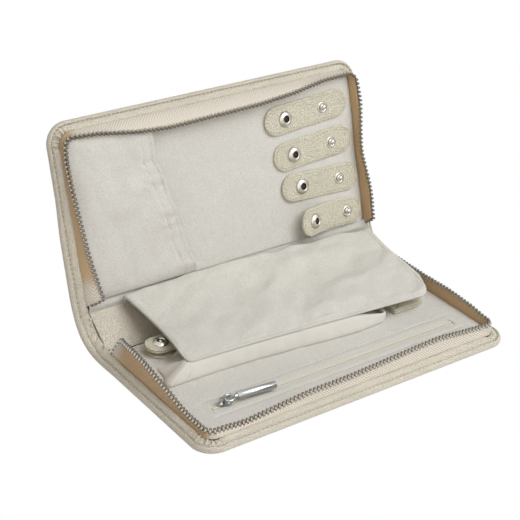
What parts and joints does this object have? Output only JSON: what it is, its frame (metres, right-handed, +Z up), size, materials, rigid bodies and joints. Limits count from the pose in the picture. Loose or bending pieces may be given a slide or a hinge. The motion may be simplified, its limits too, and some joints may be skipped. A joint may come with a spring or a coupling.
{
  "type": "jewelry box",
  "caption": "Zip-around leather travel jewelry case with a folding spine, snap tabs, a slip pocket, a zip pocket, a soft pouch, a ring roll and a suede flap.",
  "frame": {"origin": "centre of the flat underside of the base half", "axes": "+X across the width to the right, +Y from the front edge to the spine, +Z up"},
  "size_m": [0.25, 0.1907, 0.1414],
  "materials": {
    "shell_leather": "pebbled ivory leather, satin",
    "board": "grey board",
    "suede_lining": "ivory suede-like lining",
    "flap_suede": "ivory suede, brushed",
    "pouch_cloth": "soft cream cloth",
    "pocket_cloth": "soft ivory cloth",
    "zip_tape": "cream herringbone tape",
    "tape_lining": "tan woven lining",
    "zip_metal": "polished nickel",
    "pocket_zip": "cream nylon coil and tape",
    "chrome_trim": "polished chrome",
    "tab_leather": "pebbled leather tabs",
    "snap_metal": "nickel-plated snaps"
  },
  "bodies": {
    "base": {"base_cover": "shell_leather", "base_board": "board", "base_rim": "shell_leather", "base_lining": "suede_lining", "base_tape": "zip_tape", "base_tape_lining": "tape_lining", "base_teeth": "zip_metal", "pocket_zip_tape": "pocket_zip", "pocket_zip_coil": "pocket_zip", "pocket_bag": "pouch_cloth", "pouch": "pouch_cloth", "side_tab": "tab_leather", "ring_roll": "suede_lining", "ring_stud_tab": "tab_leather", "ring_stud": "snap_metal", "flap_skirt": "suede_lining", "flap_root": "flap_suede", "base_welt": "shell_leather"},
    "strap": {"ring_strap": "tab_leather", "ring_socket": "snap_metal"},
    "slider": {"pocket_slider": "chrome_trim"},
    "puller": {"pocket_pull": "chrome_trim"},
    "flap": {"flap": "flap_suede"},
    "spine": {"spine_cover": "shell_leather", "spine_board": "board", "spine_band": "shell_leather", "main_slider": "zip_metal"},
    "main_puller": {"main_pull": "zip_metal"},
    "lid": {"lid_cover": "shell_leather", "lid_board": "board", "lid_rim": "shell_leather", "lid_lining": "suede_lining", "lid_tape": "zip_tape", "lid_tape_lining": "tape_lining", "lid_teeth": "zip_metal", "lid_pocket": "pocket_cloth", "lid_pocket_hem": "pocket_cloth", "tab_fixed_1": "tab_leather", "tab_fixed_2": "tab_leather", "tab_fixed_3": "tab_leather", "tab_fixed_4": "tab_leather", "stud_1": "snap_metal", "stud_2": "snap_metal", "stud_3": "snap_metal", "stud_4": "snap_metal"},
    "tab_1": {"tab_free_1": "tab_leather", "socket_1": "snap_metal"},
    "tab_2": {"tab_free_2": "tab_leather", "socket_2": "snap_metal"},
    "tab_3": {"tab_free_3": "tab_leather", "socket_3": "snap_metal"},
    "tab_4": {"tab_free_4": "tab_leather", "socket_4": "snap_metal"}
  },
  "joints": [
    {"name": "spine_fold", "type": "hinge", "parent": "base", "child": "spine", "pos_m": [0, 0.06, 0.0025], "axis": [1, 0, 0], "range_deg": [-36.3, 53.7], "deforming": ["flap_root"]},
    {"name": "lid_fold", "type": "hinge", "parent": "spine", "child": "lid", "pos_m": [0, 0.09304, 0.02677], "axis": [1, 0, 0], "range_deg": [-36.3, 53.7]},
    {"name": "flap_lift", "type": "hinge", "parent": "base", "child": "flap", "pos_m": [0, 0.05, 0.0229], "axis": [1, 0, 0], "range_deg": [-100, 0]},
    {"name": "strap_lift", "type": "hinge", "parent": "base", "child": "strap", "pos_m": [-0.0759, 0.042, 0.01445], "axis": [0, -1, 0], "range_deg": [-15, 0]},
    {"name": "pocket_slide", "type": "slide", "parent": "base", "child": "slider", "axis": [1, 0, 0], "range_m": [0, 0.15]},
    {"name": "pull_swing", "type": "hinge", "parent": "slider", "child": "puller", "pos_m": [-0.0885, -0.029, 0.01285], "axis": [0, 1, 0], "range_deg": [-110, 0]},
    {"name": "main_pull_swing", "type": "hinge", "parent": "spine", "child": "main_puller", "pos_m": [0.094, 0.068, 0.01526], "axis": [0, -0.8059, -0.592], "range_deg": [-100, 0]},
    {"name": "tab_fold_1", "type": "hinge", "parent": "lid", "child": "tab_1", "pos_m": [0.0707, 0.1097, 0.11587], "axis": [-0.0576, 0.2985, 0.9527], "range_deg": [0, 180]},
    {"name": "tab_fold_2", "type": "hinge", "parent": "lid", "child": "tab_2", "pos_m": [0.0748, 0.10192, 0.09106], "axis": [-0.0628, 0.2985, 0.9524], "range_deg": [0, 180]},
    {"name": "tab_fold_3", "type": "hinge", "parent": "lid", "child": "tab_3", "pos_m": [0.0784, 0.09433, 0.06682], "axis": [0.0419, 0.2988, 0.9534], "range_deg": [0, 180]},
    {"name": "tab_fold_4", "type": "hinge", "parent": "lid", "child": "tab_4", "pos_m": [0.0823, 0.08667, 0.04239], "axis": [0.0279, 0.2989, 0.9539], "range_deg": [-17, 158]}
  ],
  "couplings": [
    {"joint": "lid_fold", "follows": "spine_fold", "ratio": 1}
  ]
}
